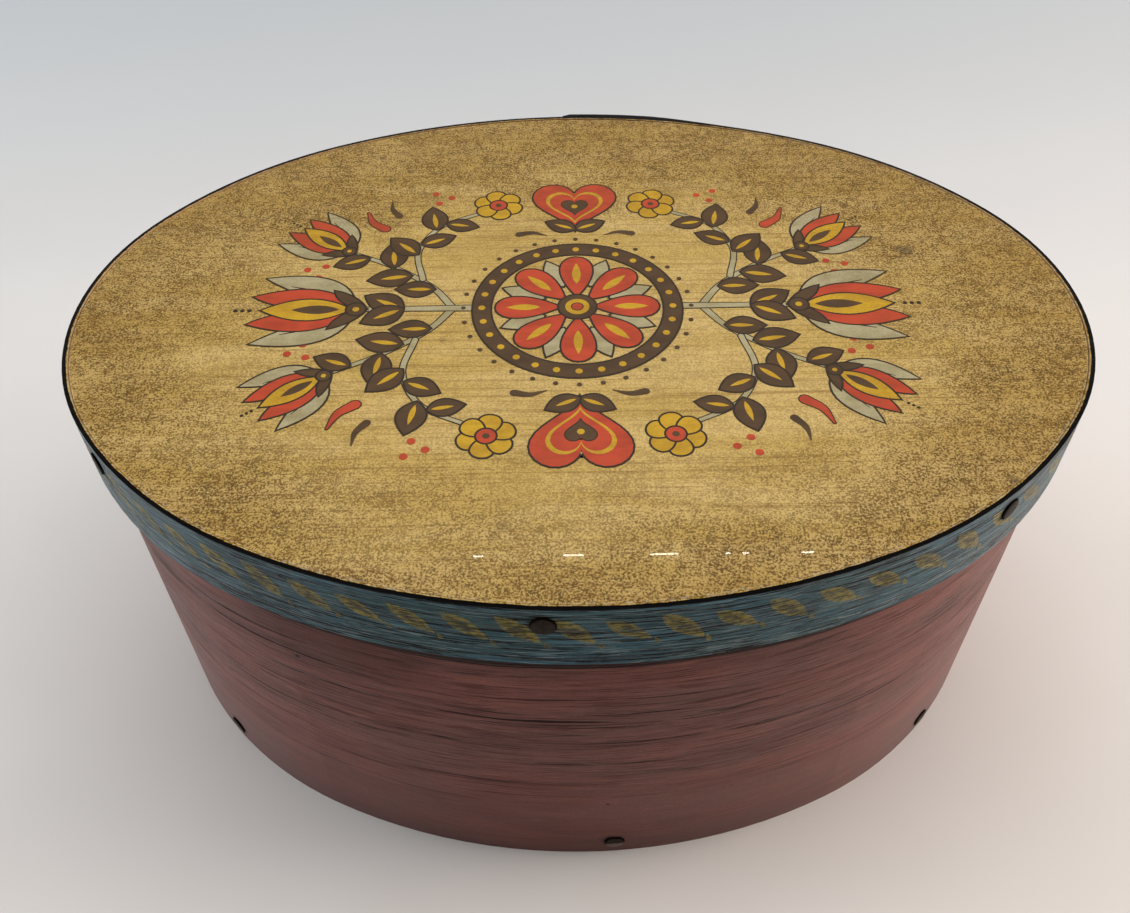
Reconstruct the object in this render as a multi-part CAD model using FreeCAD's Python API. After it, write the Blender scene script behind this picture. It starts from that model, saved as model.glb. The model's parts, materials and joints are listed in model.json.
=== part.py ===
"""Oval bentwood box with a lift-off lid: two lapped bands tacked round two oval boards.

Units are millimetres. The origin is under the middle of the box, on the surface it stands on.
+X is the long way of the oval, +Y is the back, where both bands are lapped, and +Z is up.
"""

import FreeCAD, Part
import math
import os

from FreeCAD import Rotation, Vector

# ---- driving dimensions -------------------------------------------------------------------

LID_LENGTH = 381.0  # outside of the lid band, the long way of the oval
LID_WIDTH = 279.4  # outside of the lid band, the short way
TOTAL_HEIGHT = 177.0
LID_BAND_HEIGHT = 29.0
LID_BAND_THICKNESS = 1.9
BODY_BAND_THICKNESS = 1.9
LID_BOARD_THICKNESS = 12.7
BOTTOM_BOARD_THICKNESS = 12.7
LID_BOARD_RECESS = 0.3  # the lid board lies this far below the band's top edge
BOARD_EASED_EDGE = 0.5  # chamfer on the board edges that are seen
LID_CLEARANCE = 0.38  # between the lid band and the body's lap, its tightest place

# The oval is drawn with circular arcs, three to a quarter, so that every offset of it is true.
# All angles are the direction of the outward normal in degrees, from +X towards +Y.
END_ARC = 35.0  # the tightest arcs reach this far either side of the X axis
SIDE_ARC = 65.0  # the flattest arcs start here

# Each band is one strip. Its feathered inner end lies against the board, and its outer end
# rides up over that and ends in a bevel. Lengths are along the band.
LID_LAP_END = 91.0  # where the outer end lies
LID_LAP_LENGTH = 35.0  # of double thickness
BODY_LAP_END = 95.8
BODY_LAP_LENGTH = 45.0
FEATHER_LENGTH = 42.0
FEATHER_TIP = 0.3
GLUE_LINE = 0.12
END_BEVEL = 3.4
END_EDGE = 0.5  # what the bevel leaves of the outer end
RIDE_POINTS = 7

# Cut tacks with broad round heads and square shanks: straight ones in the board edges,
# clinched ones through the body's lap.
HEAD_RADIUS = 4.2
HEAD_RIM = 0.45
HEAD_BEVEL = 1.7  # how far in from the rim the hammered bevel reaches
HEAD_BEVEL_RISE = 0.45
HEAD_CROWN_RISE = 0.2
SHANK_WIDTH = 1.7
SHANK_LENGTH = 14.0
POINT_WIDTH = 0.3
CLINCH_LENGTH = 5.0
CLINCH_GAP = 0.05  # between a bent point and the wall it is bent over

LID_TACK_DROP = 1.3  # the lid's tacks lie this far below the middle of the lid board
BOTTOM_TACK_RISE = 2.6  # the foot's tacks lie this far above the middle of the bottom board
LID_TACK_ANGLES = (-140.8, -92.9, -51.7, 26.4, 136.3)
BOTTOM_TACK_ANGLES = (-135.3, -87.0, -45.0, 35.0, 143.8)
LAP_TACK_SETBACK = 10.0  # from a band's outer end back to its first tack
LID_LAP_TACKS = 2
LID_LAP_TACK_SPACING = 21.0
BODY_LAP_CLINCHED = 4

# ---- sizes that follow --------------------------------------------------------------------

LID_BOARD_TOP = TOTAL_HEIGHT - LID_BOARD_RECESS
BODY_HEIGHT = LID_BOARD_TOP - LID_BOARD_THICKNESS  # the lid board rests on the body band
LID_BAND_FOOT = TOTAL_HEIGHT - LID_BAND_HEIGHT
LID_TACK_LEVEL = LID_BOARD_TOP - LID_BOARD_THICKNESS / 2 - LID_TACK_DROP
BOTTOM_TACK_LEVEL = BOTTOM_BOARD_THICKNESS / 2 + BOTTOM_TACK_RISE

LID_LAP_THICKNESS = 2 * LID_BAND_THICKNESS + GLUE_LINE
BODY_LAP_THICKNESS = 2 * BODY_BAND_THICKNESS + GLUE_LINE

# Faces are given as offsets of the lid band's outside, negative inwards.
LID_INSIDE = -LID_BAND_THICKNESS
BODY_INSIDE = LID_INSIDE - LID_CLEARANCE - BODY_LAP_THICKNESS


# ---- the oval -----------------------------------------------------------------------------


def direction(angle):
    turn = math.radians(angle)
    return Vector(math.cos(turn), math.sin(turn), 0)


def quarter_arcs():
    """Centre and radius of the end, shoulder and side arcs of the first quarter.

    The shoulder has the radius an ellipse has in its middle. The other two radii are what
    brings the chain of arcs to the oval's full length and width.
    """
    length, width = LID_LENGTH / 2, LID_WIDTH / 2
    middle = direction((END_ARC + SIDE_ARC) / 2)
    shoulder = (length * width) ** 2 / math.hypot(length * middle.x, width * middle.y) ** 3
    leave, join = direction(END_ARC), direction(SIDE_ARC)
    along = length - shoulder * (leave.x - join.x)
    across = width - shoulder * (join.y - leave.y)
    spread = (1 - leave.x) * (1 - join.y) - join.x * leave.y
    end = (along * (1 - join.y) - across * join.x) / spread
    side = (across * (1 - leave.x) - along * leave.y) / spread
    shoulder_centre = Vector(length - end, 0, 0) + leave * (end - shoulder)
    return (
        (Vector(length - end, 0, 0), end),
        (shoulder_centre, shoulder),
        (Vector(0, width - side, 0), side),
    )


def arc_at(angle):
    """Centre and radius of the arc whose outward normal points along an angle."""
    end, shoulder, side = quarter_arcs()
    normal = direction(angle)
    lean = math.degrees(math.atan2(abs(normal.y), abs(normal.x)))
    centre, radius = end if lean < END_ARC else side if lean > SIDE_ARC else shoulder
    mirror_x = math.copysign(1, normal.x)
    mirror_y = math.copysign(1, normal.y)
    return Vector(centre.x * mirror_x, centre.y * mirror_y, 0), radius


def oval_point(offset, angle):
    centre, radius = arc_at(angle)
    return centre + direction(angle) * (radius + offset)


def turn_along_side(length):
    """The angle that a length of band turns through on the oval's flattest arc."""
    end, shoulder, (centre, radius) = quarter_arcs()
    return math.degrees(length / radius)


def oval_arcs(offset, start, end):
    """The arcs that make up the offset oval between two angles, start being 0 or more."""
    leans = (-SIDE_ARC, -END_ARC, END_ARC, SIDE_ARC)
    joints = [half * 180 + lean for half in range(4) for lean in leans]
    stops = [start] + [joint for joint in joints if start < joint < end] + [end]
    return [
        Part.Arc(
            oval_point(offset, a), oval_point(offset, (a + b) / 2), oval_point(offset, b)
        ).toShape()
        for a, b in zip(stops, stops[1:])
    ]


# ---- bands --------------------------------------------------------------------------------


def ride(rise, start, crest, angle):
    """How far the strip has climbed over its own feathered end at an angle."""
    share = (angle - start) / (crest - start)
    return rise * (1 - math.cos(math.pi * share)) / 2


def tip_angle(rise, start, crest):
    """Where the feathered end is down to its tip under the strip that rides over it."""
    share = math.acos(1 - 2 * (GLUE_LINE + FEATHER_TIP) / rise) / math.pi
    return start + share * (crest - start)


def ride_curve(base, rise, start, crest, first):
    """A face of the strip where it climbs, from the first angle to the crest."""
    step = (crest - first) / (RIDE_POINTS - 1)
    angles = [first + step * i for i in range(RIDE_POINTS)]
    curve = Part.BSplineCurve()
    curve.interpolate([oval_point(base + ride(rise, start, crest, a), a) for a in angles])
    return curve.toShape()


def lapped_band(inside, thickness, lap_end, lap_length, foot, top):
    """One strip of veneer bent round the oval and lapped over its own end."""
    outside = inside + thickness
    rise = thickness + GLUE_LINE
    bevel = lap_end - turn_along_side(END_BEVEL)
    crest = lap_end - turn_along_side(lap_length)
    start = crest - turn_along_side(FEATHER_LENGTH)
    tip = tip_angle(rise, start, crest)
    edges = [
        ride_curve(inside, rise, start, crest, start),
        ride_curve(outside, rise, start, crest, start),
        ride_curve(inside - GLUE_LINE, rise, start, crest, tip),
        line(inside + FEATHER_TIP, tip, inside, tip),
        line(inside + rise, lap_end, inside + rise + END_EDGE, lap_end),
        line(inside + rise + END_EDGE, lap_end, outside + rise, bevel),
    ]
    edges += oval_arcs(inside, tip, start + 360)
    edges += oval_arcs(outside, crest, start + 360)
    edges += oval_arcs(inside + rise, crest, lap_end)
    edges += oval_arcs(outside + rise, crest, bevel)
    plan = Part.Face(Part.Wire(Part.__sortEdges__(edges)))
    plan.translate(Vector(0, 0, foot))
    return plan.extrude(Vector(0, 0, top - foot))


def line(offset, angle, next_offset, next_angle):
    return Part.makeLine(oval_point(offset, angle), oval_point(next_offset, next_angle))


# ---- boards -------------------------------------------------------------------------------


def oval_board(inside, foot, top, eased_level):
    """An oval board that fills its band. The edge at eased_level, which is seen, is eased."""
    rim = Part.Wire(oval_arcs(inside, 0, 360))
    rim.translate(Vector(0, 0, foot))
    board = Part.Face(rim).extrude(Vector(0, 0, top - foot))
    seen = [
        edge
        for edge in board.Edges
        if all(abs(v.Point.z - eased_level) < 1e-6 for v in edge.Vertexes)
    ]
    return board.makeChamfer(BOARD_EASED_EDGE, seen)


# ---- tacks --------------------------------------------------------------------------------


def tack_head():
    """A low round head, hammered to a bevel and a slight crown, seated on z = 0."""
    shoulder = HEAD_RIM + HEAD_BEVEL_RISE
    profile = Part.makePolygon(
        [
            Vector(0, 0, 0),
            Vector(HEAD_RADIUS, 0, 0),
            Vector(HEAD_RADIUS, 0, HEAD_RIM),
            Vector(HEAD_RADIUS - HEAD_BEVEL, 0, shoulder),
            Vector(0, 0, shoulder + HEAD_CROWN_RISE),
            Vector(0, 0, 0),
        ]
    )
    return Part.Face(profile).revolve(Vector(0, 0, 0), Vector(0, 0, 1), 360)


def square(width, level):
    half = width / 2
    corners = [(-half, -half), (half, -half), (half, half), (-half, half)]
    points = [Vector(x, y, level) for x, y in corners]
    return Part.makePolygon(points + points[:1])


def straight_shank():
    """A tapered square shank from inside the head down to its point, along -Z."""
    sections = [square(SHANK_WIDTH, HEAD_RIM / 2), square(POINT_WIDTH, -SHANK_LENGTH)]
    return Part.makeLoft(sections, True, True)


def clinched_shank(wall):
    """A square shank through a wall, its point bent over beside the far face towards +Y."""
    half = SHANK_WIDTH / 2
    near_side = -wall - CLINCH_GAP
    outline = [
        Vector(-half, -half, HEAD_RIM / 2),
        Vector(-half, half, HEAD_RIM / 2),
        Vector(-half, half, near_side),
        Vector(-half, CLINCH_LENGTH, near_side),
        Vector(-half, CLINCH_LENGTH, near_side - POINT_WIDTH),
        Vector(-half, half, near_side - SHANK_WIDTH),
        Vector(-half, 0, near_side - SHANK_WIDTH),
        Vector(-half, -half, near_side - half),
    ]
    side = Part.Face(Part.makePolygon(outline + outline[:1]))
    return side.extrude(Vector(SHANK_WIDTH, 0, 0))


def headed(shank):
    return tack_head().fuse(shank).removeSplitter()


def on_the_wall(shape, offset, angle, level):
    """Turns a shape's +Z to the oval's outward normal, and its +Y to straight down."""
    normal, down = direction(angle), Vector(0, 0, -1)
    placed = shape.copy()
    placed.Placement = FreeCAD.Placement(
        oval_point(offset, angle) + Vector(0, 0, level),
        Rotation(down.cross(normal), down, normal, "ZXY"),
    )
    return placed


# ---- the box ------------------------------------------------------------------------------


def lid_rim_fastenings(shape):
    """The shape at each place where the lid band is tacked to the lid board."""
    return [on_the_wall(shape, 0, angle, LID_TACK_LEVEL) for angle in LID_TACK_ANGLES]


def lid_lap_fastenings(shape):
    """The shape at each place where the lid's lap is tacked to the lid board."""
    setbacks = [LAP_TACK_SETBACK + LID_LAP_TACK_SPACING * i for i in range(LID_LAP_TACKS)]
    return [
        on_the_wall(
            shape,
            LID_INSIDE + LID_LAP_THICKNESS,
            LID_LAP_END - turn_along_side(setback),
            LID_TACK_LEVEL,
        )
        for setback in setbacks
    ]


def on_the_body_lap(shape, level):
    angle = BODY_LAP_END - turn_along_side(LAP_TACK_SETBACK)
    return on_the_wall(shape, BODY_INSIDE + BODY_LAP_THICKNESS, angle, level)


def bottom_fastenings(shape):
    """The shape at each place where the body band is tacked to the bottom board."""
    outside = BODY_INSIDE + BODY_BAND_THICKNESS
    ring = [
        on_the_wall(shape, outside, angle, BOTTOM_TACK_LEVEL) for angle in BOTTOM_TACK_ANGLES
    ]
    return ring + [on_the_body_lap(shape, BOTTOM_TACK_LEVEL)]


def body_lap_fastenings(shape):
    """The shape up the body's lap, evenly spaced from the bottom tack to the lid band."""
    spacing = (LID_BAND_FOOT - BOTTOM_TACK_LEVEL) / (BODY_LAP_CLINCHED + 0.5)
    return [
        on_the_body_lap(shape, BOTTOM_TACK_LEVEL + spacing * (i + 1))
        for i in range(BODY_LAP_CLINCHED)
    ]


def build():
    shank = straight_shank()
    clinched = clinched_shank(BODY_LAP_THICKNESS)
    lid_holes = lid_rim_fastenings(shank) + lid_lap_fastenings(shank)
    bottom_holes = bottom_fastenings(shank)
    body_holes = bottom_holes + body_lap_fastenings(clinched)

    lid_band = lapped_band(
        LID_INSIDE,
        LID_BAND_THICKNESS,
        LID_LAP_END,
        LID_LAP_LENGTH,
        LID_BAND_FOOT,
        TOTAL_HEIGHT,
    )
    body_band = lapped_band(
        BODY_INSIDE, BODY_BAND_THICKNESS, BODY_LAP_END, BODY_LAP_LENGTH, 0, BODY_HEIGHT
    )
    lid_board = oval_board(LID_INSIDE, BODY_HEIGHT, LID_BOARD_TOP, LID_BOARD_TOP)
    bottom_board = oval_board(BODY_INSIDE, 0, BOTTOM_BOARD_THICKNESS, 0)
    return {
        "body_band": body_band.cut(body_holes),
        "bottom_board": bottom_board.cut(bottom_holes),
        "bottom_tacks": Part.makeCompound(bottom_fastenings(headed(shank))),
        "body_lap_tacks": Part.makeCompound(body_lap_fastenings(headed(clinched))),
        "lid_band": lid_band.cut(lid_holes),
        "lid_board": lid_board.cut(lid_holes),
        "lid_rim_tacks": Part.makeCompound(lid_rim_fastenings(headed(shank))),
        "lid_lap_tacks": Part.makeCompound(lid_lap_fastenings(headed(shank))),
    }


os.makedirs("parts", exist_ok=True)
for node, shape in build().items():
    shape.exportStep(f"parts/{node}.step")
    print(node, len(shape.Solids), "solids", round(shape.Volume), "mm3", shape.isValid())
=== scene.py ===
"""The looks of an oval bentwood box with a lift-off lid.

Worn milk paint covers two lapped veneer bands, with a border of leaves round the lid's. Dark
iron tacks hold them, and the lid board has flat painted ornament under an old varnish. Lengths
are in millimetres until they reach Blender, which works in metres.
"""

import cmath
import json
import math

import bmesh
import bpy
from mathutils import Matrix, Vector
from mathutils.geometry import tessellate_polygon

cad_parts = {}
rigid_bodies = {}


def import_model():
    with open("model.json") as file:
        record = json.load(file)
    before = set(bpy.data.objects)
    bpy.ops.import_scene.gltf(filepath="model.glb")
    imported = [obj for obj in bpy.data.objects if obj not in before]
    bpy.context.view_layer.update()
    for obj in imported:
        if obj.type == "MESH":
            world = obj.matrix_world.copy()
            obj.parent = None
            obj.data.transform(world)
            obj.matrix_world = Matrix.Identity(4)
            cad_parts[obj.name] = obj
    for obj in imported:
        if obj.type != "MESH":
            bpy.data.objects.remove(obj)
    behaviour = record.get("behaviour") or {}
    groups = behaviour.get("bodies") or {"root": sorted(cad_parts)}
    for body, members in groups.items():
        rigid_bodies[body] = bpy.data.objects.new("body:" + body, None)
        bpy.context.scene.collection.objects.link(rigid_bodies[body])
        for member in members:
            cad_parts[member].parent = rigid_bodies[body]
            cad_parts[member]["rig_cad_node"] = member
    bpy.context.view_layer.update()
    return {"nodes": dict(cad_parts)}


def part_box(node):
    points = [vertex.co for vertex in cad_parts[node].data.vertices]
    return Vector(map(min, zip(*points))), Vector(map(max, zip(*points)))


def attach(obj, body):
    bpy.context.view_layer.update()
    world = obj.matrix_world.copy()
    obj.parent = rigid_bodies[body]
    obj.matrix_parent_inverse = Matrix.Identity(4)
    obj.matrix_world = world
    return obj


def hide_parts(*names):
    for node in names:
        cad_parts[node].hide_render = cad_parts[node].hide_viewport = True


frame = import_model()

MM = 0.001


# ---- the oval that the bands are bent to ------------------------------------------------------

END_ARC = math.radians(35)  # the tightest arcs reach this far either side of the long axis
SIDE_ARC = math.radians(65)  # the flattest arcs start here

LID_LENGTH = 381.0
LID_WIDTH = 279.4
LID_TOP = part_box("lid_band")[1].z / MM
LID_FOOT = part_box("lid_band")[0].z / MM
BOARD_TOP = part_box("lid_board")[1].z / MM
BODY_OUTSIDE = -4.3  # offset of the body band's outside from the lid band's
BODY_INSIDE = -6.2
LID_LAP_OUTSIDE = 2.02  # offsets of the lapped ends' outsides
BODY_LAP_OUTSIDE = -2.28


def heading(angle):
    """The unit vector at this angle from the long axis."""
    return Vector((math.cos(angle), math.sin(angle)))


def quarter_arcs():
    """Centre and radius of the end, shoulder and side arcs of the first quarter."""
    length, width = LID_LENGTH / 2, LID_WIDTH / 2
    middle = heading((END_ARC + SIDE_ARC) / 2)
    shoulder = (length * width) ** 2 / math.hypot(length * middle.x, width * middle.y) ** 3
    leave, join = heading(END_ARC), heading(SIDE_ARC)
    along_x = length - shoulder * (leave.x - join.x)
    along_y = width - shoulder * (join.y - leave.y)
    spread = (1 - leave.x) * (1 - join.y) - join.x * leave.y
    end = (along_x * (1 - join.y) - along_y * join.x) / spread
    side = (along_y * (1 - leave.x) - along_x * leave.y) / spread
    shoulder_centre = Vector((length - end, 0)) + leave * (end - shoulder)
    return (
        (Vector((length - end, 0)), end),
        (shoulder_centre, shoulder),
        (Vector((0, width - side)), side),
    )


OVAL_ARCS = quarter_arcs()


def oval_point(offset, angle, level):
    """The point an offset outside the lid band whose outward normal has this angle."""
    normal = heading(angle)
    lean = math.atan2(abs(normal.y), abs(normal.x))
    centre, radius = OVAL_ARCS[0 if lean < END_ARC else 2 if lean > SIDE_ARC else 1]
    quarter = Vector((math.copysign(1, normal.x), math.copysign(1, normal.y)))
    return (quarter * centre + normal * (radius + offset)).to_3d() + Vector((0, 0, level))


# ---- where the tacks go -----------------------------------------------------------------------

LID_TACK_LEVEL = 169.05
LID_TACK_ANGLES = (-140.8, -92.9, -51.7, 26.4, 136.3)
LID_LAP_TACK_ANGLES = (88.71, 83.91)
FOOT_TACK_LEVEL = 8.95
FOOT_TACK_ANGLES = (-135.3, -87.0, -45.0, 35.0, 143.8)
BODY_LAP_TACK_ANGLE = 93.51
CLINCHED_LEVELS = (39.85, 70.75, 101.65, 132.55)

# Each place is an offset and an angle on the oval, and a level.
LID_TACK_PLACES = [(0, angle, LID_TACK_LEVEL) for angle in LID_TACK_ANGLES]
LID_LAP_TACK_PLACES = [(LID_LAP_OUTSIDE, angle, LID_TACK_LEVEL) for angle in LID_LAP_TACK_ANGLES]
FOOT_TACK_PLACES = [(BODY_OUTSIDE, angle, FOOT_TACK_LEVEL) for angle in FOOT_TACK_ANGLES]
FOOT_TACK_PLACES += [(BODY_LAP_OUTSIDE, BODY_LAP_TACK_ANGLE, FOOT_TACK_LEVEL)]
BODY_LAP_TACK_PLACES = [(BODY_LAP_OUTSIDE, BODY_LAP_TACK_ANGLE, z) for z in CLINCHED_LEVELS]

STAIN_REACH = (5.4, 5.2)  # half width and half height
STAIN_STRENGTH = 0.85
STAIN_TURN = -0.3  # degrees along the band from the tack's middle
STAIN_RISE = 1.3


def iron_stains(tack_places):
    """Where the iron has blackened the wood round each tack, most of all above its head."""
    stains = []
    for offset, angle, level in tack_places:
        middle = oval_point(offset, math.radians(angle + STAIN_TURN), level + STAIN_RISE)
        stains.append((middle, *STAIN_REACH, STAIN_STRENGTH))
    return stains


# ---- building materials -----------------------------------------------------------------------

EASED = {"interpolation_type": "SMOOTHSTEP"}
COLOURS = {"data_type": "RGBA"}
TIMES = {"operation": "MULTIPLY"}
TIMES_PLUS = {"operation": "MULTIPLY_ADD"}
PLUS = {"operation": "ADD"}
MINUS = {"operation": "SUBTRACT"}
DOT = {"operation": "DOT_PRODUCT"}
LENGTH = {"operation": "LENGTH"}


def linear(hex_colour):
    """A linear RGBA colour from an sRGB hex string."""
    channels = [int(hex_colour[i : i + 2], 16) / 255 for i in (1, 3, 5)]
    return [c / 12.92 if c <= 0.04045 else ((c + 0.055) / 1.055) ** 2.4 for c in channels] + [1.0]


def add(tree, kind, inputs=(), **settings):
    """Adds a node with its settings and inputs, and returns its first output.

    The inputs are those that the settings leave in use, in their order or by name. Each is a
    value, a hex colour, another node's output, or a list of outputs.
    """
    node = tree.nodes.new(kind)
    for name, value in settings.items():
        setattr(node, name, value)
    used = [socket for socket in node.inputs if socket.enabled]
    for key, value in inputs.items() if isinstance(inputs, dict) else enumerate(inputs):
        socket = used[key] if isinstance(key, int) else next(s for s in used if s.name == key)
        if isinstance(value, (list, bpy.types.NodeSocket)):
            for output in value if isinstance(value, list) else [value]:
                tree.links.new(output, socket)
        elif isinstance(value, str) and socket.type == "RGBA":
            socket.default_value = linear(value)
        else:
            socket.default_value = value
    return next((output for output in node.outputs if output.enabled), None)


def start_material(name):
    """An empty material, its node tree and the place in the object that its patterns read."""
    material = bpy.data.materials.new(name)
    material.use_nodes = True
    tree = material.node_tree
    tree.nodes.clear()
    return material, tree, add(tree, "ShaderNodeTexCoord").node.outputs["Object"]


def finish_material(material, colour, roughness, relief=None, depth=0.1, **fixed):
    """Gives the material its shader. relief is 1 on high ground, and depth is in millimetres.

    The shader's own IOR of 1.5 is kept. It is typical of oil, casein, varnish and wood fibre.
    """
    tree = material.node_tree
    inputs = {"Base Color": colour, "Roughness": roughness}
    inputs.update({name.replace("_", " "): value for name, value in fixed.items()})
    if relief is not None:
        bump = {"Height": relief, "Distance": depth * MM, "Strength": 1.0}
        inputs["Normal"] = add(tree, "ShaderNodeBump", bump)
    shader = add(tree, "ShaderNodeBsdfPrincipled", inputs)
    add(tree, "ShaderNodeOutputMaterial", {"Surface": shader})
    return material


def uneven(tree, place, size, seed, span=None, **noise):
    """Chance variation with features of this size, in millimetres along X, Y and Z.

    It lies mostly between 0.3 and 0.7. A span gives the part of it that climbs from 0 to 1, and
    a third number in the span is what it climbs to instead of 1.
    """
    moved = {
        "Vector": place,
        "Location": (seed, seed * 0.7, seed * 1.3),
        "Scale": tuple(1 / (length * MM) for length in size),
    }
    values = {"Scale": 1.0, "Detail": 3.0, "Roughness": 0.55, **noise}
    values["Vector"] = add(tree, "ShaderNodeMapping", moved)
    value = add(tree, "ShaderNodeTexNoise", values)
    if span is None:
        return value
    low, high, most = (*span, 1.0)[:3]
    return add(tree, "ShaderNodeMapRange", (value, low, high, 0.0, most), **EASED)


GRAIN_WAVE = (90.0, 90.0, 30.0)


def wavy_grain(tree, place, rise=5.0):
    """The place moved up and down by a few millimetres along the box, which makes grain wavy."""
    wave = uneven(tree, place, GRAIN_WAVE, 33)
    wave = add(tree, "ShaderNodeMath", (wave, rise * MM), **TIMES)
    wave = add(tree, "ShaderNodeCombineXYZ", (0.0, 0.0, wave))
    return add(tree, "ShaderNodeVectorMath", (place, wave), **PLUS)


def lay_coats(tree, colour, *coats):
    """Coats of colour, each over the last, where and as strongly as its cover says."""
    for cover, coat in coats:
        colour = add(tree, "ShaderNodeMix", (cover, colour, coat), **COLOURS)
    return colour


def depth_from_edge(tree, place):
    """How far a place is inside the lid band's outside: the arc that it faces is the nearest."""
    corner = add(tree, "ShaderNodeVectorMath", (place, (1, 1, 0)), **TIMES)
    corner = add(tree, "ShaderNodeVectorMath", (corner,), operation="ABSOLUTE")
    depth = 0.0
    for (centre, radius), start in zip(OVAL_ARCS, (-1.0, END_ARC, SIDE_ARC)):
        away = add(tree, "ShaderNodeVectorMath", (corner, centre.to_3d() * MM), **MINUS)
        reach = add(tree, "ShaderNodeVectorMath", (away,), **LENGTH)
        inside = add(tree, "ShaderNodeMath", (radius * MM, reach), **MINUS)
        parts = add(tree, "ShaderNodeSeparateXYZ", (away,)).node.outputs
        lean = add(tree, "ShaderNodeMath", (parts["Y"], parts["X"]), operation="ARCTAN2")
        faced = add(tree, "ShaderNodeMath", (lean, start), operation="GREATER_THAN")
        depth = add(tree, "ShaderNodeMix", (faced, depth, inside), data_type="FLOAT")
    return depth


# ---- finishes of the lid's top ----------------------------------------------------------------

# The brown glaze was dabbed on with a sponge, whose pores left spots 0.8 mm across, in
# blotches of 3 mm. The board's grain, 0.8 mm from line to line, runs along the box.
GLAZE_SPOT = (0.8, 0.8, 3.0)
GLAZE_BLOTCH = (3.4, 3.0, 9.0)
GLAZE_PATCH = (17.0, 13.0, 30.0)
GLAZE_CLOUD = (52.0, 36.0, 80.0)
SMUDGE = (9.0, 7.0, 30.0)
LID_GRAIN = (46.0, 0.8, 8.0)
GROUND_STROKE = (60.0, 12.0, 60.0)
PAINT_STROKE = (11.0, 6.0, 30.0)
CHIP = (1.6, 1.6, 1.6)
CHIPPED_LINE = 2.2  # how far inside the lid's outside the varnish has chipped

# The glaze's depth is a sum: up to 1 at the lid's edge, more in clouds, and so much for each
# metre along the box and towards its back. The span is the sums where it is none and heaviest.
GLAZE_CLOUDING = 0.62
GLAZE_LEAN = (0.3, 1.2, 0.0)
GLAZE_SPAN = (0.61, 1.42)

# Each stain is a place, its half width and half height, and its strength.
LID_STAINS = (
    ((131.8, 33.3, BOARD_TOP), 4.6, 9, 0.5),
    ((139.5, -90.7, BOARD_TOP), 2.6, 9, 0.45),
    ((-49.7, -18.2, BOARD_TOP), 2.0, 9, 0.35),
    ((-26.0, -107.6, BOARD_TOP), 3.4, 9, 0.25),
)

# A hard clear coat, brushed out smooth. The paint under it has hardly any gloss of its own.
VARNISH = {"Coat_Weight": 0.5, "Coat_Roughness": 0.015, "Specular_IOR_Level": 0.25}


def glaze_depth(tree, place):
    """How thickly the glaze lies: thin over the middle of the lid, and heavy round its edge,
    most of all at the back and the right."""
    reach = (2 / (LID_LENGTH * MM), 2 / (LID_WIDTH * MM), 0)
    out = add(tree, "ShaderNodeVectorMath", (place, reach), **TIMES)
    out = add(tree, "ShaderNodeVectorMath", (out,), **LENGTH)
    cloud = uneven(tree, place, GLAZE_CLOUD, 8, Detail=4, Distortion=0.5)
    out = add(tree, "ShaderNodeMath", (cloud, GLAZE_CLOUDING, out), **TIMES_PLUS)
    side = add(tree, "ShaderNodeVectorMath", (place, GLAZE_LEAN), **DOT)
    out = add(tree, "ShaderNodeMath", (side, out), **PLUS)
    return add(tree, "ShaderNodeMapRange", (out, *GLAZE_SPAN), **EASED)


def sponged_glaze(tree, place, colour, strength=1.0):
    """The sponged glaze and the smoke of age, over a colour. Returns the spots as well."""
    depth = glaze_depth(tree, place)
    spot = uneven(tree, place, GLAZE_SPOT, 4, Detail=2, Roughness=0.7, Distortion=0.3)
    blotch = uneven(tree, place, GLAZE_BLOTCH, 14, Detail=2)
    patch = uneven(tree, place, GLAZE_PATCH, 15)
    spot = add(tree, "ShaderNodeMath", (blotch, 0.3, spot), **TIMES_PLUS)
    spot = add(tree, "ShaderNodeMath", (patch, 0.2, spot), **TIMES_PLUS)
    heavy = (depth, 0.0, 0.75, 0.4 * strength, strength)
    heavy = add(tree, "ShaderNodeMapRange", heavy, **EASED)
    thin = add(tree, "ShaderNodeMapRange", (spot, 0.65, 0.86), **EASED)
    thin = add(tree, "ShaderNodeMath", (thin, heavy), **TIMES)
    smoke = (depth, 0.1, 1.0, 0.18 * strength, 0.5 * strength)
    smoke = add(tree, "ShaderNodeMapRange", smoke, **EASED)
    hue = uneven(tree, place, GLAZE_BLOTCH, 23, (0.35, 0.65))
    glaze = add(tree, "ShaderNodeMix", (hue, "#58400c", "#6a4a10"), **COLOURS)
    smudge = uneven(tree, place, SMUDGE, 41, (0.6, 0.72, 0.4), Detail=4, Distortion=0.4)
    smudge = add(tree, "ShaderNodeMath", (smudge, smoke), **TIMES)
    coats = ((smoke, "#8b692b"), (thin, glaze), (smudge, "#4d3f30"))
    return lay_coats(tree, colour, *coats), thin


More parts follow.
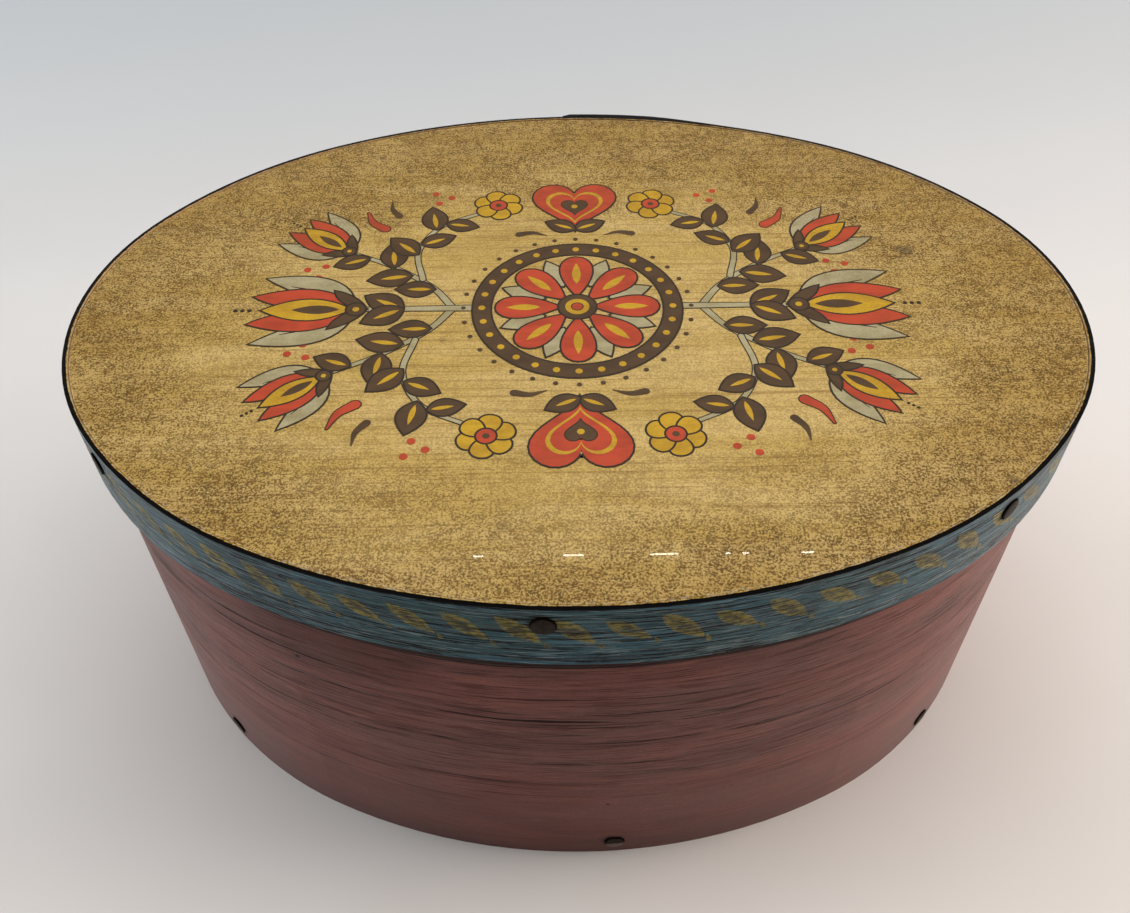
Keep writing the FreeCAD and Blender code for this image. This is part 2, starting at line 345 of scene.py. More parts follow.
def gold_ground(tree, place):
    """Straw-gold ground paint with the board's grain in it, glazed, and chipped pale along the
    edge. Returns its colour, the grain's lines and the glaze's spots."""
    lines = uneven(tree, place, LID_GRAIN, 1, (0.5, 0.7, 0.7), Detail=4, Roughness=0.6)
    tone = uneven(tree, place, GROUND_STROKE, 5, (0.35, 0.65), Detail=2)
    colour = add(tree, "ShaderNodeMix", (tone, "#d9bd77", "#cdaf60"), **COLOURS)
    colour = lay_coats(tree, colour, (lines, "#8f6c33"))
    colour, spots = sponged_glaze(tree, place, colour)
    edge = depth_from_edge(tree, place)
    edge = add(tree, "ShaderNodeMath", (edge, CHIPPED_LINE * MM), **MINUS)
    edge = add(tree, "ShaderNodeMath", (edge,), operation="ABSOLUTE")
    edge = add(tree, "ShaderNodeMapRange", (edge, 0.3 * MM, 0.9 * MM, 0.45, 0.0), **EASED)
    chips = uneven(tree, place, CHIP, 33, (0.45, 0.6), Roughness=0.7)
    chips = add(tree, "ShaderNodeMath", (chips, edge), **TIMES)
    return lay_coats(tree, colour, (chips, "#cdbf9f")), lines, spots


def facing_up(tree, low, high):
    """1 on faces that point up, and 0 on the rest. low and high are heights of the normal."""
    normal = add(tree, "ShaderNodeNewGeometry").node.outputs["Normal"]
    upward = add(tree, "ShaderNodeSeparateXYZ", (normal,)).node.outputs["Z"]
    return add(tree, "ShaderNodeMapRange", (upward, low, high), **EASED)


def dark_spots(tree, place, colour, spots, dark_colour="#1d1411"):
    """Knots, stains and painted shade: each spot is its place, its half width and height, and
    its strength.
    """
    for spot_place, wide, high, strength in spots:
        away = add(tree, "ShaderNodeVectorMath", (place, Vector(spot_place) * MM), **MINUS)
        stretch = (1 / (wide * MM), 1 / (wide * MM), 1 / (high * MM))
        away = add(tree, "ShaderNodeVectorMath", (away, stretch), **TIMES)
        away = add(tree, "ShaderNodeVectorMath", (away,), **LENGTH)
        ragged = uneven(tree, place, (wide * 0.7, wide * 0.7, high * 0.7), spot_place[0])
        away = add(tree, "ShaderNodeMath", (away, ragged), **PLUS)
        cover = add(tree, "ShaderNodeMapRange", (away, 0.9, 1.5, strength, 0.0), **EASED)
        colour = lay_coats(tree, colour, (cover, dark_colour))
    return colour


def varnished_lid_board():
    """A pine board with a straw-gold ground coat, sponged with brown glaze, under varnish. To
    the eye it is warm and glossy, with its grain in the middle. Below, the pine is bare."""
    material, tree, place = start_material("varnished gold ground on pine")
    colour, lines, spots = gold_ground(tree, place)
    colour = dark_spots(tree, place, colour, LID_STAINS, "#2b2018")
    fibre = uneven(tree, place, LID_GRAIN, 1, (0.42, 0.66), Detail=4, Roughness=0.6)
    pine = add(tree, "ShaderNodeMix", (fibre, "#c9a06c", "#a87c4b"), **COLOURS)
    colour = lay_coats(tree, pine, (facing_up(tree, 0.2, 0.4), colour))
    relief = add(tree, "ShaderNodeMath", (lines, -1.0, spots), **TIMES_PLUS)
    return finish_material(material, colour, 0.42, relief, 0.015, **VARNISH)


def ornament_paint(name, hex_colour, shade, glaze=0.35):
    """Flat oil colour on the lid: opaque, a little uneven where the brush was reloaded, with
    the board's grain faint in it, and the same glaze and varnish over it."""
    material, tree, place = start_material(name)
    grain = uneven(tree, place, LID_GRAIN, 1, (0.5, 0.7, 0.5), Detail=4, Roughness=0.6)
    reloaded = uneven(tree, place, PAINT_STROKE, 2, (0.35, 0.7))
    colour = add(tree, "ShaderNodeMix", (reloaded, hex_colour, shade), **COLOURS)
    colour = lay_coats(tree, colour, (grain, shade))
    colour, _ = sponged_glaze(tree, place, colour, glaze)
    relief = add(tree, "ShaderNodeMath", (grain, -1.0), **TIMES)
    return finish_material(material, colour, 0.42, relief, 0.02, **VARNISH)


# ---- finishes of the bands --------------------------------------------------------------------

# Split veneer shows open, raised grain. It runs round the bands, so every size is long in X
# and Y and short in Z. Real pores are 0.3 mm apart, too fine to show, so they are drawn 0.6 mm
# high. The thin drying checks are true to size, 1.5 mm apart in bundles 10 mm high.
BODY_PORE = (24.0, 24.0, 0.65)
BODY_RIDGE = (28.0, 28.0, 0.8)
BODY_RUB = (14.0, 14.0, 0.8)
LID_PORE = (18.0, 18.0, 0.6)
LID_RIDGE = (22.0, 22.0, 0.65)
LID_SPLINTER = (14.0, 14.0, 0.5)
CHECK = (240.0, 240.0, 1.5)
CHECK_BREAK = (36.0, 36.0, 3.0)
CHECK_BUNDLE = (150.0, 150.0, 10.0)

# The paint's own unevenness: streaks from the brush, patches of age, and grit in the lime.
BODY_STREAK = (75.0, 75.0, 14.0)
BODY_PATCH = (90.0, 90.0, 26.0)
BODY_GRIT = (1.1, 1.1, 0.9)
BODY_RAGGED = (30.0, 30.0, 2.0)
LID_STREAK = (120.0, 120.0, 3.0)
LID_PATCH = (50.0, 50.0, 9.0)
LID_RAGGED = (7.0, 7.0, 7.0)
LEAF_DAB = (2.4, 2.4, 0.9)
LEAF_DRY = (1.5, 1.5, 0.8)
INSIDE_STREAK = (140.0, 140.0, 7.0)
INSIDE_FIBRE = (90.0, 90.0, 0.8)

# Pairs of levels, in metres, between which something sets in or fades out.
SMOOTH_LEVELS = (30 * MM, 85 * MM)  # the grain is open above, and filled near the foot
LID_EDGE_DIRT_AND_SHADOW_LEVELS = ((LID_FOOT - 8.2) * MM, (LID_FOOT - 7.2) * MM)  # dirt from the lid's edge, and painted shadow under it
FRESH_LEVELS = ((LID_FOOT - 1.5) * MM, (LID_FOOT + 2.5) * MM)  # hidden by the lid, not faded
SCUFF_LEVELS = (0.0, 70 * MM)  # grubby at the foot
SPLINTER_LEVELS = ((LID_FOOT + 4) * MM, (LID_FOOT + 15) * MM)  # rubbed palest low on the lid
BLACK_LEVELS = ((LID_TOP - 0.3) * MM, (LID_TOP - 0.2) * MM)
BLACK_DEPTHS = (1.9 * MM, 2.0 * MM)  # how far in from the lid's outside the black line ends

# Each is a place, its half width and half height, and its strength.
BODY_KNOTS = (
    ((-99.7, -115.0, 116.0), 1.8, 1.5, 0.95),
    ((9.4, -135.4, 42.4), 1.1, 0.8, 0.9),
)
# Patches of painted shade high on the front, where the lid's overhang shades the wall.
SHADE_UNDER_LID_PLACES = (
    ((-80.0, -122.0, 132.0), 52.0, 26.0, 0.36),
    ((70.0, -122.0, 138.0), 40.0, 16.0, 0.25),
)

# Milk paint hardly shines. The dust in its open grain is pale at a glance along the wall.
BODY_DUST = {"Specular_IOR_Level": 0.03, "Sheen_Weight": 0.16, "Sheen_Roughness": 0.34}
LID_DUST = {"Specular_IOR_Level": 0.05, "Sheen_Weight": 0.4, "Sheen_Roughness": 0.32}


def bare_inside(tree, place, painted, seed):
    """Bare veneer on the faces that look towards the box's middle, and paint on the others."""
    normal = add(tree, "ShaderNodeNewGeometry").node.outputs["Normal"]
    flat = add(tree, "ShaderNodeVectorMath", (place, (1, 1, 0)), **TIMES)
    flat = add(tree, "ShaderNodeVectorMath", (flat,), operation="NORMALIZE")
    facing = add(tree, "ShaderNodeVectorMath", (normal, flat), **DOT)
    inward = add(tree, "ShaderNodeMapRange", (facing, -0.55, -0.35, 1.0, 0.0), **EASED)
    band = uneven(tree, place, INSIDE_STREAK, seed, (0.38, 0.62))
    fibre = uneven(tree, place, INSIDE_FIBRE, seed + 1, (0.45, 0.7, 0.5))
    wood = add(tree, "ShaderNodeMix", (band, "#c7a173", "#b08656"), **COLOURS)
    return lay_coats(tree, painted, (inward, lay_coats(tree, wood, (fibre, "#7d5a35"))))


def maroon_milk_paint():
    """Milk paint, brushed thin on split veneer: dull in the light, pale at a glance along it,
    warm and cool in broad streaks. Dirt has filled every pore and check. The dark line just
    under the lid's edge is dirt and painted shadow from the lid, and the patches high on the
    front are painted shade under the lid's overhang."""
    material, tree, place = start_material("maroon milk paint on split veneer")
    level = add(tree, "ShaderNodeSeparateXYZ", (place,)).node.outputs["Z"]
    high = add(tree, "ShaderNodeMapRange", (level, *SMOOTH_LEVELS, 0.2, 1.0), **EASED)
    grain = wavy_grain(tree, place)
    tone = uneven(tree, place, BODY_STREAK, 7, (0.36, 0.64), Roughness=0.6)
    cool = uneven(tree, place, BODY_PATCH, 2, (0.36, 0.66, 0.6))
    fine = uneven(tree, grain, BODY_RIDGE, 3, (0.5, 0.68, 0.7), Roughness=0.7)
    fine = add(tree, "ShaderNodeMath", (fine, high), **TIMES)
    rubbed = uneven(tree, grain, BODY_RUB, 6, (0.54, 0.7, 0.4), Roughness=0.7)
    pore = uneven(tree, grain, BODY_PORE, 8, (0.56, 0.62, 0.6), Detail=2)
    pore = add(tree, "ShaderNodeMath", (pore, high), **TIMES)
    grit = uneven(tree, place, BODY_GRIT, 18, (0.35, 0.65, 0.3), Detail=2)
    check = uneven(tree, grain, CHECK, 9, (0.56, 0.61), Detail=2)
    bundle = uneven(tree, place, CHECK_BUNDLE, 12, (0.44, 0.56), Detail=2)
    bundle = add(tree, "ShaderNodeMath", (bundle, high), **TIMES)
    broken = uneven(tree, place, CHECK_BREAK, 29, (0.4, 0.54), Detail=2)
    check = add(tree, "ShaderNodeMath", (check, broken), **TIMES)
    check = add(tree, "ShaderNodeMath", (check, bundle), **TIMES)
    dirty = add(tree, "ShaderNodeMath", (bundle, 0.22), **TIMES)
    ragged = uneven(tree, place, BODY_RAGGED, 16)
    edge = add(tree, "ShaderNodeMath", (ragged, 3 * MM, level), **TIMES_PLUS)
    # Painted shadow and dirt: a dark line on the wall just under the lid band's edge.
    lid_edge_dirt_and_shadow = add(tree, "ShaderNodeMapRange", (edge, *LID_EDGE_DIRT_AND_SHADOW_LEVELS, 0.0, 0.85), **EASED)
    fresh = add(tree, "ShaderNodeMapRange", (edge, *FRESH_LEVELS, 0.0, 0.7), **EASED)
    lid_edge_dirt_and_shadow = add(tree, "ShaderNodeMath", (fresh, -1.2, lid_edge_dirt_and_shadow), use_clamp=True, **TIMES_PLUS)
    scuffed = add(tree, "ShaderNodeMapRange", (edge, *SCUFF_LEVELS, 0.35, 0.0), **EASED)
    colour = add(tree, "ShaderNodeMix", (tone, "#7e4e48", "#8e5a52"), **COLOURS)
    coats = ((cool, "#735a56"), (grit, "#6b423b"), (dirty, "#4e302b"), (fresh, "#6e3c34"))
    lines = ((fine, "#4c261f"), (rubbed, "#a5685b"), (pore, "#431c15"), (check, "#260c07"))
    wear_and_painted_light = ((scuffed, "#56342f"), (lid_edge_dirt_and_shadow, "#1b0e0d"))
    colour = lay_coats(tree, colour, *coats, *lines, *wear_and_painted_light)
    # Painted shade under the lid's overhang.
    colour = dark_spots(tree, place, colour, SHADE_UNDER_LID_PLACES, "#2f1815")
    colour = dark_spots(tree, place, colour, BODY_KNOTS)
    colour = dark_spots(tree, place, colour, iron_stains(FOOT_TACK_PLACES))
    colour = bare_inside(tree, place, colour, 21)
    opened = add(tree, "ShaderNodeMath", (fine, 0.5, check), **TIMES_PLUS)
    relief = add(tree, "ShaderNodeMath", (1.0, opened), **MINUS)
    roughness = add(tree, "ShaderNodeMapRange", (fine, 0.0, 0.5, 0.42, 0.6), **EASED)
    return finish_material(material, colour, roughness, relief, 0.2, **BODY_DUST)


def grey_blue_coats(tree, place):
    """The lid band's paint, the relief under it, and how open the grain is in each place."""
    level = add(tree, "ShaderNodeSeparateXYZ", (place,)).node.outputs["Z"]
    low = add(tree, "ShaderNodeMapRange", (level, *SPLINTER_LEVELS, 0.8, 0.45), **EASED)
    streak = uneven(tree, place, LID_STREAK, 5, (0.36, 0.64), Roughness=0.6)
    green = uneven(tree, place, LID_PATCH, 12, (0.42, 0.66, 0.6), Detail=2)
    grain = wavy_grain(tree, place, 3.0)
    ridge = uneven(tree, grain, LID_RIDGE, 11, (0.44, 0.57, 0.65), Roughness=0.7)
    pore = uneven(tree, grain, LID_PORE, 13, (0.53, 0.57, 1.0), Detail=2)
    check = uneven(tree, grain, CHECK, 14, (0.56, 0.6), Detail=2)
    broken = uneven(tree, place, CHECK_BREAK, 19, (0.42, 0.54), Detail=2)
    check = add(tree, "ShaderNodeMath", (check, broken), **TIMES)
    splinter = uneven(tree, grain, LID_SPLINTER, 9, (0.57, 0.62, 0.8), Detail=2)
    splinter = add(tree, "ShaderNodeMath", (splinter, low), **TIMES)
    colour = add(tree, "ShaderNodeMix", (streak, "#385f6b", "#487181"), **COLOURS)
    coats = ((green, "#425f5a"), (ridge, "#20313a"), (pore, "#071015"), (check, "#030506"))
    colour = lay_coats(tree, colour, *coats, (splinter, "#96acaf"))
    opened = add(tree, "ShaderNodeMath", (pore, 0.6, check), **TIMES_PLUS)
    relief = add(tree, "ShaderNodeMath", (splinter, opened), **MINUS)
    return colour, relief, opened


def grey_blue_paint():
    """Grey-blue milk paint dragged over raised grain: dark in the open pores, rubbed pale on
    the splinters. The lid's gold laps over the top edge, up to a crisp black line."""
    material, tree, place = start_material("grey-blue milk paint on split veneer")
    colour, relief, opened = grey_blue_coats(tree, place)
    colour = dark_spots(tree, place, colour, iron_stains(LID_TACK_PLACES))
    colour = bare_inside(tree, place, colour, 31)
    ragged = uneven(tree, place, LID_RAGGED, 1, Detail=4, Roughness=0.6)
    inner = depth_from_edge(tree, place)
    inner = add(tree, "ShaderNodeMath", (ragged, 0.9 * MM, inner), **TIMES_PLUS)
    inner = add(tree, "ShaderNodeMapRange", (inner, *BLACK_DEPTHS, 1.0, 0.0), **EASED)
    level = add(tree, "ShaderNodeSeparateXYZ", (place,)).node.outputs["Z"]
    lower = add(tree, "ShaderNodeMath", (ragged, 0.3 * MM, level), **TIMES_PLUS)
    lower = add(tree, "ShaderNodeMapRange", (lower, *BLACK_LEVELS), **EASED)
    black = add(tree, "ShaderNodeMath", (inner, lower), **TIMES)
    gold, _, _ = gold_ground(tree, place)
    lapped = facing_up(tree, 0.4, 0.6)
    colour = lay_coats(tree, colour, (lapped, gold), (black, "#030303"))
    roughness = add(tree, "ShaderNodeMapRange", (opened, 0.0, 1.0, 0.5, 0.68), **EASED)
    return finish_material(material, colour, roughness, relief, 0.18, **LID_DUST)


def ochre_leaf_paint():
    """The same coats where ochre was dabbed through a stencil. It took on the ridges, so the
    blue shows in the grain and through the leaf's dry edge."""
    material, tree, place = start_material("ochre stencil paint over grey-blue")
    blue, relief, opened = grey_blue_coats(tree, place)
    tone = uneven(tree, place, LEAF_DAB, 5)
    dry = uneven(tree, place, LEAF_DRY, 6, Roughness=0.7)
    inside = add(tree, "ShaderNodeAttribute", attribute_name="from_edge").node.outputs["Fac"]
    tone = add(tree, "ShaderNodeMath", (inside, 0.25, tone), **TIMES_PLUS)
    tone = add(tree, "ShaderNodeMapRange", (tone, 0.44, 0.78), **EASED)
    ochre = add(tree, "ShaderNodeMix", (tone, "#998a3f", "#453d22"), **COLOURS)
    cover = add(tree, "ShaderNodeMath", (inside, 0.7, dry), **TIMES_PLUS)
    cover = add(tree, "ShaderNodeMapRange", (cover, 0.4, 0.66, 0.0, 0.92), **EASED)
    closed = add(tree, "ShaderNodeMapRange", (opened, 0.1, 0.55, 1.0, 0.35), **EASED)
    cover = add(tree, "ShaderNodeMath", (cover, closed), **TIMES)
    colour = lay_coats(tree, blue, (cover, ochre))
    return finish_material(material, colour, 0.6, relief, 0.18, **LID_DUST)


# ---- other finishes ---------------------------------------------------------------------------

PINE_RING = (150.0, 9.0, 30.0)
PINE_FIBRE = (60.0, 0.7, 1.0)
IRON_DENT = (1.3, 1.3, 1.3)
IRON_RUB = (2.4, 2.4, 2.4)
CLOTH_CLOUD = (240.0, 240.0, 240.0)
FLOOR_REFLECTION_LEVELS = (FOOT_TACK_LEVEL * MM, (FOOT_TACK_LEVEL + 1) * MM)


def bare_pine():
    """Planed pine, never painted: matt, with pale earlywood between darker latewood lines."""
    material, tree, place = start_material("bare planed pine")
    rings = uneven(tree, place, PINE_RING, 3, (0.44, 0.6), Distortion=0.6)
    fibre = uneven(tree, place, PINE_FIBRE, 4, (0.45, 0.7, 0.45), Roughness=0.6)
    colour = add(tree, "ShaderNodeMix", (rings, "#c9a06c", "#a67a48"), **COLOURS)
    colour = lay_coats(tree, colour, (fibre, "#7d592f"))
    return finish_material(material, colour, 0.62, fibre, 0.05)


def blackened_tack_iron():
    """Cut iron tacks, black from the oil bath, with a face that hands have rubbed brown. The
    lowest have a pale face, which is a painted reflection of the floor. The black is a dull
    oxide that covers the metal, so the shader isn't a metal's."""
    material, tree, place = start_material("oil-blackened tack iron")
    dent = uneven(tree, place, IRON_DENT, 1, Detail=2)
    tone = uneven(tree, place, IRON_RUB, 5, (0.4, 0.66))
    face = add(tree, "ShaderNodeMix", (tone, "#20160f", "#30221a"), **COLOURS)
    level = add(tree, "ShaderNodeSeparateXYZ", (place,)).node.outputs["Z"]
    level = add(tree, "ShaderNodeMath", (dent, 1.5 * MM, level), **TIMES_PLUS)
    # Painted reflection of the floor: the faces of the lowest tack heads are pale.
    wear_and_painted_light = add(tree, "ShaderNodeMapRange", (level, *FLOOR_REFLECTION_LEVELS, 0.8, 0.0), **EASED)
    face = lay_coats(tree, face, (wear_and_painted_light, "#7e6d61"))
    rim = add(tree, "ShaderNodeAttribute", attribute_name="rim").node.outputs["Fac"]
    ragged = add(tree, "ShaderNodeMath", (dent, 0.8, rim), **TIMES_PLUS)
    rim = add(tree, "ShaderNodeMapRange", (ragged, 0.8, 1.1), **EASED)
    colour = lay_coats(tree, face, (rim, "#080605"))
    roughness = add(tree, "ShaderNodeMapRange", (rim, 0.0, 1.0, 0.45, 0.75), **EASED)
    return finish_material(material, colour, roughness, dent, 0.08, Specular_IOR_Level=0.06)


def pale_cloth():
    """The floor's plain matt cloth, almost white, with painted shade that makes it darker and a
    little cooler towards the back.
    """
    material, tree, place = start_material("pale matt cloth")
    cloud = uneven(tree, place, CLOTH_CLOUD, 2, (0.3, 0.7))
    colour = add(tree, "ShaderNodeMix", (cloud, "#dedbd8", "#e4e2e0"), **COLOURS)
    # Painted shade: the cloth grows darker and cooler towards the back.
    back = add(tree, "ShaderNodeSeparateXYZ", (place,)).node.outputs["Y"]
    back = add(tree, "ShaderNodeMapRange", (back, -0.1, 0.7), **EASED)
    colour = lay_coats(tree, colour, (back, "#bcc2c7"))
    return finish_material(material, colour, 0.9)


# ---- the lid's ornament, drawn flat -----------------------------------------------------------

# Points are complex numbers in millimetres: the real part runs along the box, the imaginary
# part towards its back. A shape is its paint, the width of its ink outline, and its loops.
LINE = 0.75
FINE_LINE = 0.45


def turned(shapes, place=0, angle=0, scale=1.0):
    """Shapes turned by an angle in degrees, scaled, and moved to a place."""
    spin = cmath.rect(scale, math.radians(angle))
    return [
        (paint, line, [[place + spin * p for p in loop] for loop in loops])
        for paint, line, loops in shapes
    ]


def mirrored(shapes, across_length=False):
    """The shapes and their mirror images in the long axis, or in the short one."""
    sign = -1 if across_length else 1
    images = [
        (paint, line, [[sign * p.conjugate() for p in loop] for loop in loops])
        for paint, line, loops in shapes
    ]
    return shapes + images


def petal(base, tip, pull, other_pull, steps=12):
    """A form between two points whose edges are each pulled towards a point of their own."""
    outline = []
    for start, middle, end in ((base, pull, tip), (tip, other_pull, base)):
        for t in (i / steps for i in range(steps)):
            outline.append((1 - t) ** 2 * start + 2 * t * (1 - t) * middle + t**2 * end)
    return [outline]


def blade(length, width):
    """A leaf along the real axis, pointed at both ends."""
    return petal(0, length, complex(length * 0.4, width), complex(length * 0.4, -width))


def drop(length, width, points=26):
    """A petal along the real axis with its point at the origin and a round far end."""
    outline = []
    for t in (math.tau * i / points for i in range(points)):
        swell = 0.65 * math.sin(t) * math.sin(t / 2)
        outline.append(complex(length * (1 - math.cos(t)) / 2, width * swell))
    return [outline]


def disc(radius, points=28):
    """A round outline about the origin."""
    return [[cmath.rect(radius, math.tau * i / points) for i in range(points)]]


def ring(outer, inner, points=96):
    """A round outline with a round hole in it."""
    return [disc(outer, points)[0], disc(inner, points)[0][::-1]]


def heart(width, height, points=44):
    """A heart along the real axis that stands on its point at the origin."""
    outline = []
    for t in (math.tau * i / points for i in range(points)):
        along = 13 * math.cos(t) - 5 * math.cos(2 * t) - 2 * math.cos(3 * t) - math.cos(4 * t)
        outline.append(complex((along + 17) / 29 * height, math.sin(t) ** 3 * width / 2))
    return [outline]


def on_route(route, share_of_way):
    """The place and direction at a share of the way along a smooth line through a route."""
    ends = [2 * route[0] - route[1], *route, 2 * route[-1] - route[-2]]
    leg = min(int(share_of_way * (len(route) - 1)), len(route) - 2)
    t = share_of_way * (len(route) - 1) - leg
    a, b, c, d = ends[leg : leg + 4]
    bend, twist = 2 * a - 5 * b + 4 * c - d, 3 * (b - c) + d - a
    place = b + 0.5 * t * (c - a + t * (bend + t * twist))
    slope = c - a + t * (2 * bend + 3 * t * twist)
    return place, slope / abs(slope)


def brush_line(route, widths, steps=10):
    """A round-ended brush stroke along a route. The widths are spread evenly over it."""
    left, right = [], []
    count = steps * (len(route) - 1)
    for i in range(count + 1):
        place, way = on_route(route, i / count)
        spot = i / count * (len(widths) - 1)
        before = min(int(spot), len(widths) - 2)
        width = widths[before] + (widths[before + 1] - widths[before]) * (spot - before)
        left.append(place + 1j * way * width / 2)
        right.append(place - 1j * way * width / 2)
    caps = []
    for at, side in ((0, -1), (1, 1)):
        place, way = on_route(route, at)
        radius = widths[-at] / 2
        turns = (cmath.rect(radius, math.radians(angle)) for angle in (-55, -20, 20, 55))
        caps.append([place + side * way * turn for turn in turns])
    return [[*right, *caps[1], *left[::-1], *caps[0]]]


def leaf(length):
    """A dark leaf along the real axis, with a yellow vein."""
    vein = turned([("yellow", 0, blade(length * 0.62, length * 0.13))], length * 0.1)
    return [("brown", LINE, blade(length, length * 0.62))] + vein


def leaves_along(route, spots):
    """Leaves beside a stem. Each spot is a share of its length, a side and a leaf's length."""
    leaves = []
    for share_of_way, side, length in spots:
        place, way = on_route(route, share_of_way)
        leaves += turned(leaf(length), place, math.degrees(cmath.phase(way)) + 48 * side)
    return leaves


def tulip():
    """A tulip that opens along the real axis, 40 mm long before it is scaled."""
    outer = mirrored([("pale", LINE, petal(0, 36 + 19j, 3 + 25j, 21 + 7j))])
    creases = mirrored([("ink", 0, brush_line([9 + 8j, 17 + 11.4j, 26 + 14j], (0.5, 0.9, 0.4)))])
    inner = mirrored([("red", LINE, petal(0, 39 + 8j, 12 + 19j, 28 - 1j))])
    middle = [
        ("yellow", LINE, petal(2, 35, 17 + 12j, 17 - 12j)),
        ("brown", 0, petal(6, 24, 14 + 5j, 14 - 5j)),
    ]
    calyx = mirrored([("brown", LINE, petal(-4, 9 + 11j, 0 + 8j, 7 + 2j))])
    knob = [("brown", LINE, disc(3.4)), ("yellow", 0, disc(1.3, 14))]
    seeds = []
    for i in range(3):
        seeds += turned([("ink", 0, disc(0.85, 12))], 39.5 + 2.6 * i)
    return outer + creases + inner + middle + calyx + knob + seeds


def daisy():
    """A round flower, 20 mm across before it is scaled."""
    shapes = []
    for i in range(6):
        shapes += turned([("yellow", LINE, drop(10, 7.6))], 0, 60 * i)
    return shapes + [("red", LINE, disc(3.3)), ("brown", 0, disc(1.3, 14))]


def banded_heart():
    """A red heart 30 mm high with a yellow line inside its edge and a dark heart in it."""
    shapes = [("red", LINE, heart(31, 30))]
    shapes += turned([("yellow", 0, heart(21.5, 20.5))], 4.6)
    shapes += turned([("red", 0, heart(18.6, 17.9))], 5.9)
    shapes += turned([("brown", FINE_LINE, heart(9.5, 9))], 10.4)
    return shapes + turned([("yellow", 0, disc(1.2, 12))], 15.6)


def rosette():
    """The compass-drawn flower in the middle, with a ring of dots round it."""
    shapes = [("brown", LINE, ring(39.5, 33))]
    for i in range(28):
        shapes += turned([("yellow", 0, disc(1.35, 12))], cmath.rect(36.25, math.tau * i / 28))
    for angle in (45 * i + 22.5 for i in range(8)):
        place = cmath.rect(13.5, math.radians(angle))
        shapes += turned([("pale", LINE, blade(17, 8))], place, angle)
    for angle in (45 * i for i in range(8)):
        way = cmath.rect(1, math.radians(angle))
        shapes += turned([("red", LINE, drop(24.5, 12.5))], 6.4 * way, angle)
        shapes += turned([("yellow", 0, blade(13, 3.4))], 14 * way, angle)
    for i in range(32):
        shapes += turned([("brown", 0, disc(0.95, 10))], cmath.rect(43.2, math.tau * i / 32))
    eye = [("brown", LINE, disc(7)), ("yellow", 0, disc(4.6)), ("red", FINE_LINE, disc(2))]
    return shapes + eye


def spray():
    """The scrolls, flowers and leaves of one quarter of the lid."""
    rising = [47 + 0j, 56 + 13j, 72 + 26j, 90 + 36j]
    curling = [60 + 18j, 63 + 36j, 55 + 53j, 38 + 63j]
    shapes = [("pale", FINE_LINE, brush_line(rising, (2.6, 2.2, 1.8, 1.5)))]
    shapes += [("pale", FINE_LINE, brush_line(curling, (2.1, 1.8, 1.4)))]
    shapes += leaves_along(rising, ((0.3, -1, 15), (0.52, -1, 17), (0.66, 1, 16), (0.86, -1, 14)))
    shapes += leaves_along(curling, ((0.3, -1, 16), (0.42, 1, 14), (0.62, -1, 16), (0.72, 1, 13)))
    shapes += turned(tulip(), 91 + 37j, 38, 0.72)
    shapes += turned(daisy(), 32 + 68j, 20)
    comma = brush_line([0j, 7 + 1.2j, 13 + 6j], (4.0, 2.8, 0.5))
    shapes += turned([("red", FINE_LINE, comma)], 78 + 52j, 30)
    shapes += turned([("brown", 0, comma)], 73 + 61j, 45, 0.8)
    shapes += turned([("brown", 0, comma)], 23 + 47j, 160, 0.8)
    for place in (101 + 20j, 106 + 25j, 99 + 27j, 52 + 74j, 57 + 70j, 59 + 77j):
        shapes += turned([("red", 0, disc(1.5, 12))], place)
    return shapes


def lid_ornament():
    """Every painted shape on the lid, in the order in which they are laid over each other."""
    stem = [("pale", FINE_LINE, brush_line([40 + 0j, 55 + 0j, 70 + 0j, 84 + 0j], (3, 2.4, 2.2)))]
    side = stem + mirrored(turned(leaf(17), 66, 28)) + turned(tulip(), 84, 0, 1.02)
    upright = mirrored(turned(leaf(13), 50j, 25), across_length=True)
    upright = turned(banded_heart(), 49j, 90, 1.12) + upright
    quarters = mirrored(mirrored(spray()), across_length=True)
    return quarters + mirrored(side, across_length=True) + mirrored(upright) + rosette()


def area(loop):
    """The area inside a loop, which is negative where the loop runs clockwise."""
    return sum((loop[i - 1].conjugate() * loop[i]).imag for i in range(len(loop))) / 2


def widened(loop, by):
    """A loop with its solid side on the left, moved to the right, its sharp corners blunted."""
    moved = []
    for i, here in enumerate(loop):
        before, after = here - loop[i - 1], loop[(i + 1) % len(loop)] - here
        right = -1j * before / abs(before)
        mean = right - 1j * after / abs(after)
        mean = mean / abs(mean) if abs(mean) > 1e-6 else right
        reach = 1 / max((mean.conjugate() * right).real, 0.55)
        moved.append(here + mean * by * reach)
    return moved


# ---- meshes -----------------------------------------------------------------------------------


def plain_object(name, vertices, faces):
    """An object in the scene whose mesh has these vertices, in millimetres, and faces."""
    mesh = bpy.data.meshes.new(name)
    mesh.from_pydata([Vector(v) * MM for v in vertices], [], faces)
    made = bpy.data.objects.new(name, mesh)
    bpy.context.scene.collection.objects.link(made)
    return made


def turn_faces_out(mesh):
    """Turns every face of a closed mesh to point outwards."""
    shape = bmesh.new()
    shape.from_mesh(mesh)
    bmesh.ops.recalc_face_normals(shape, faces=shape.faces)
    shape.to_mesh(mesh)
    shape.free()


def skin(rows, first=0):
    """Faces over rows of points, each a ring, closed at both ends. first numbers their points."""
    size = len(rows[0])
    faces = []
    for row in range(len(rows) - 1):
        base = first + row * size
        for i in range(size):
            j = (i + 1) % size
            faces.append((base + i, base + j, base + size + j, base + size + i))
    last = first + (len(rows) - 1) * size
    return faces + [tuple(range(first, first + size)), tuple(range(last, last + size))]


# The films of paint are a few hundredths of a millimetre thick. Each is drawn a hair above the
# one it overlaps, so that none of them shares a plane.
FILM = 0.03
FILM_STEP = 0.0005
FILM_ROOT = 0.02


